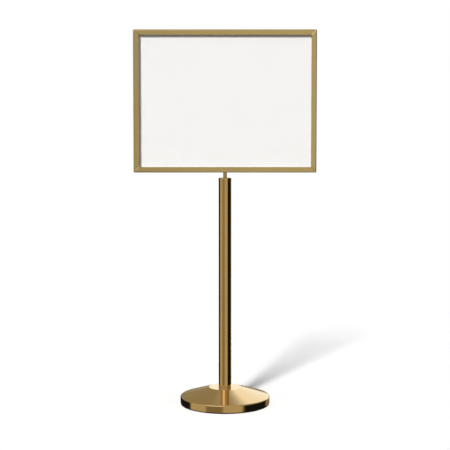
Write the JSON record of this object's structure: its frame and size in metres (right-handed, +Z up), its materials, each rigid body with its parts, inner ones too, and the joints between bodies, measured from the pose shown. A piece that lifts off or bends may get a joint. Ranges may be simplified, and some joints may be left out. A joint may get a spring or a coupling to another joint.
{
  "type": "sign stand",
  "caption": "Free-standing brass sign stand: weighted conical base, round post, and a landscape frame that swivels on a short stem and holds a lift-out sign.",
  "frame": {"origin": "on the floor, on the post's axis", "axes": "+Z up the post, the sign's front faces -Y, +X to the viewer's right"},
  "size_m": [0.73, 0.36, 1.503],
  "materials": {
    "brushed_brass": "satin, brushed along each rail",
    "polished_brass": "polished, fine lengthwise grain",
    "spun_brass": "satin, brushed in circles",
    "cast_iron": "rough, painted black",
    "black_rubber": "matt",
    "black_nylon": "satin",
    "zinc_steel": "zinc plated",
    "white_board": "matt",
    "clear_acrylic": "clear, polished"
  },
  "bodies": {
    "stand": {"base_cover": "spun_brass", "base_weight": "cast_iron", "floor_ring": "black_rubber", "base_bolt": "zinc_steel", "base_washer": "zinc_steel", "base_lock_washer": "zinc_steel", "post_tube": "polished_brass", "post_foot_plug": "zinc_steel", "post_cap": "polished_brass", "stem_bush": "black_nylon"},
    "head": {"stem": "polished_brass", "stem_washer": "zinc_steel", "stem_nut": "zinc_steel", "stem_block": "zinc_steel", "stem_block_screw_left": "zinc_steel", "stem_block_screw_right": "zinc_steel", "frame_top_rail": "brushed_brass", "frame_bottom_rail": "brushed_brass", "frame_left_stile": "brushed_brass", "frame_right_stile": "brushed_brass", "front_key_bottom_left": "zinc_steel", "back_key_bottom_left": "zinc_steel", "key_screw_bottom_left_1": "zinc_steel", "key_screw_bottom_left_2": "zinc_steel", "front_key_bottom_right": "zinc_steel", "back_key_bottom_right": "zinc_steel", "key_screw_bottom_right_1": "zinc_steel", "key_screw_bottom_right_2": "zinc_steel", "front_key_top_right": "zinc_steel", "back_key_top_right": "zinc_steel", "key_screw_top_right_1": "zinc_steel", "key_screw_top_right_2": "zinc_steel", "front_key_top_left": "zinc_steel", "back_key_top_left": "zinc_steel", "key_screw_top_left_1": "zinc_steel", "key_screw_top_left_2": "zinc_steel"},
    "sign": {"sign_board": "white_board"},
    "front_lens": {"front_lens": "clear_acrylic"},
    "back_lens": {"back_lens": "clear_acrylic"}
  },
  "joints": [
    {"name": "head_swivel", "type": "hinge", "parent": "stand", "child": "head", "pos_m": [0, 0, 0.92], "axis": [0, 0, 1], "continuous": true},
    {"name": "sign_lift", "type": "slide", "parent": "head", "child": "sign", "axis": [0, 0, 1], "range_m": [0, 0.54]},
    {"name": "front_lens_lift", "type": "slide", "parent": "head", "child": "front_lens", "axis": [0, 0, 1], "range_m": [0, 0.54]},
    {"name": "back_lens_lift", "type": "slide", "parent": "head", "child": "back_lens", "axis": [0, 0, 1], "range_m": [0, 0.54]}
  ]
}
